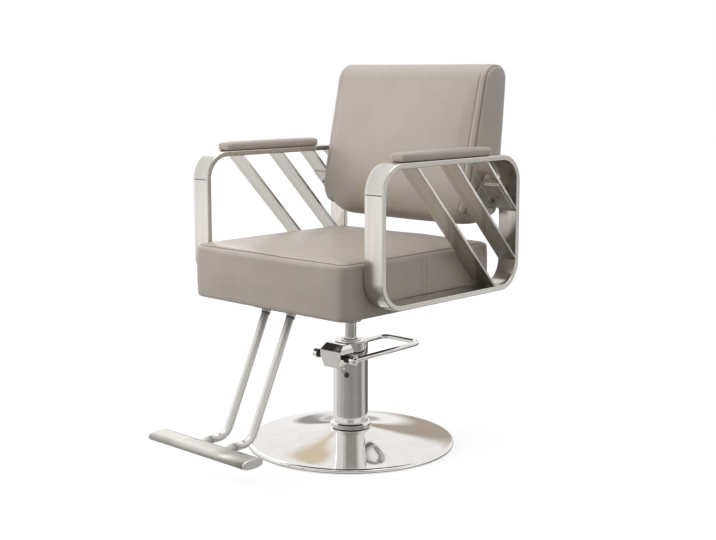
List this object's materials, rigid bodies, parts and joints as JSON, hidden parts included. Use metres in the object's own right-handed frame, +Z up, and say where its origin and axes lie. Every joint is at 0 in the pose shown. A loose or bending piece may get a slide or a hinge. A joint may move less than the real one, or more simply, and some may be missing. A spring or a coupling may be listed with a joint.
{
  "type": "hydraulic hairdressing chair",
  "caption": "Salon styling chair with a wedge backrest, flat-bar arms with slanting slats, a T-bar footrest and a pedal-pumped column on a round base.",
  "frame": {"origin": "on the column's axis, at the floor under the base plate", "axes": "+Z up the column, -Y the way the sitter faces, +X to the left of the sitter, the viewer's right"},
  "size_m": [0.6578, 0.8374, 0.982],
  "materials": {
    "chrome": "mirror-bright chrome plate",
    "polished_stainless": "polished stainless bar and tube, slightly softer than the plated base",
    "plain_steel": "plain machined steel",
    "leatherette": "smooth taupe leatherette, fine grain",
    "back_panel_leatherette": "taupe leatherette over a flat panel",
    "plywood": "bare plywood",
    "black_rubber": "black rubber"
  },
  "bodies": {
    "base": {"base_plate": "plain_steel", "base_dish": "chrome", "column_tube": "chrome", "column_collar": "chrome", "cylinder_tube": "plain_steel", "pump_head": "chrome", "gland_nut": "plain_steel", "wiper_seal": "black_rubber", "oil_plug": "plain_steel", "plunger_spring": "plain_steel", "column_bolt_1": "plain_steel", "column_bolt_2": "plain_steel", "column_bolt_3": "plain_steel", "column_bolt_4": "plain_steel"},
    "piston": {"piston": "plain_steel", "piston_seal": "black_rubber"},
    "seat": {"ram_rod": "chrome", "seat_hub": "plain_steel", "seat_plate": "plain_steel", "seat_board": "plywood", "seat_cushion": "leatherette", "back_cushion": "leatherette", "back_panel": "back_panel_leatherette", "foot_bar": "polished_stainless", "seat_bolt_1": "plain_steel", "seat_bolt_2": "plain_steel", "seat_bolt_3": "plain_steel", "seat_bolt_4": "plain_steel", "arm_screw_1": "plain_steel", "arm_screw_2": "plain_steel", "arm_screw_3": "plain_steel", "arm_screw_4": "plain_steel", "arm_loop_right": "polished_stainless", "arm_slat_front_right": "polished_stainless", "arm_slat_middle_right": "polished_stainless", "arm_slat_rear_right": "polished_stainless", "arm_pad_right": "leatherette", "arm_angle_right": "plain_steel", "back_bracket_right": "plain_steel", "back_bolt_right": "plain_steel", "slat_screw_right": "plain_steel", "footrest_tube_right": "polished_stainless", "tube_ferrule_right": "black_rubber", "foot_bar_cap_right": "polished_stainless", "arm_loop_left": "polished_stainless", "arm_slat_front_left": "polished_stainless", "arm_slat_middle_left": "polished_stainless", "arm_slat_rear_left": "polished_stainless", "arm_pad_left": "leatherette", "arm_angle_left": "plain_steel", "back_bracket_left": "plain_steel", "back_bolt_left": "plain_steel", "slat_screw_left": "plain_steel", "footrest_tube_left": "polished_stainless", "tube_ferrule_left": "black_rubber", "foot_bar_cap_left": "polished_stainless"},
    "pump_lever": {"pedal_lever": "chrome", "pedal_shaft": "chrome", "pump_rocker": "plain_steel"},
    "plunger": {"pump_plunger": "plain_steel"}
  },
  "joints": [
    {"name": "lift", "type": "slide", "parent": "base", "child": "piston", "axis": [0, 0, 1], "range_m": [0, 0.15]},
    {"name": "swivel", "type": "hinge", "parent": "piston", "child": "seat", "pos_m": [0, 0, 0.3], "axis": [0, 0, 1], "continuous": true},
    {"name": "pump_pedal", "type": "hinge", "parent": "base", "child": "pump_lever", "pos_m": [0, -0.057, 0.24], "axis": [-1, 0, 0], "range_deg": [0, 24], "stiffness_Nm_per_rad": 4, "springref_deg": -20.05},
    {"name": "plunger_stroke", "type": "slide", "parent": "base", "child": "plunger", "axis": [0, 1, 0], "range_m": [0, 0.0081], "deforming": ["plunger_spring"]}
  ],
  "couplings": [
    {"joint": "plunger_stroke", "follows": "pump_pedal", "m_per_rad": 0.019}
  ]
}
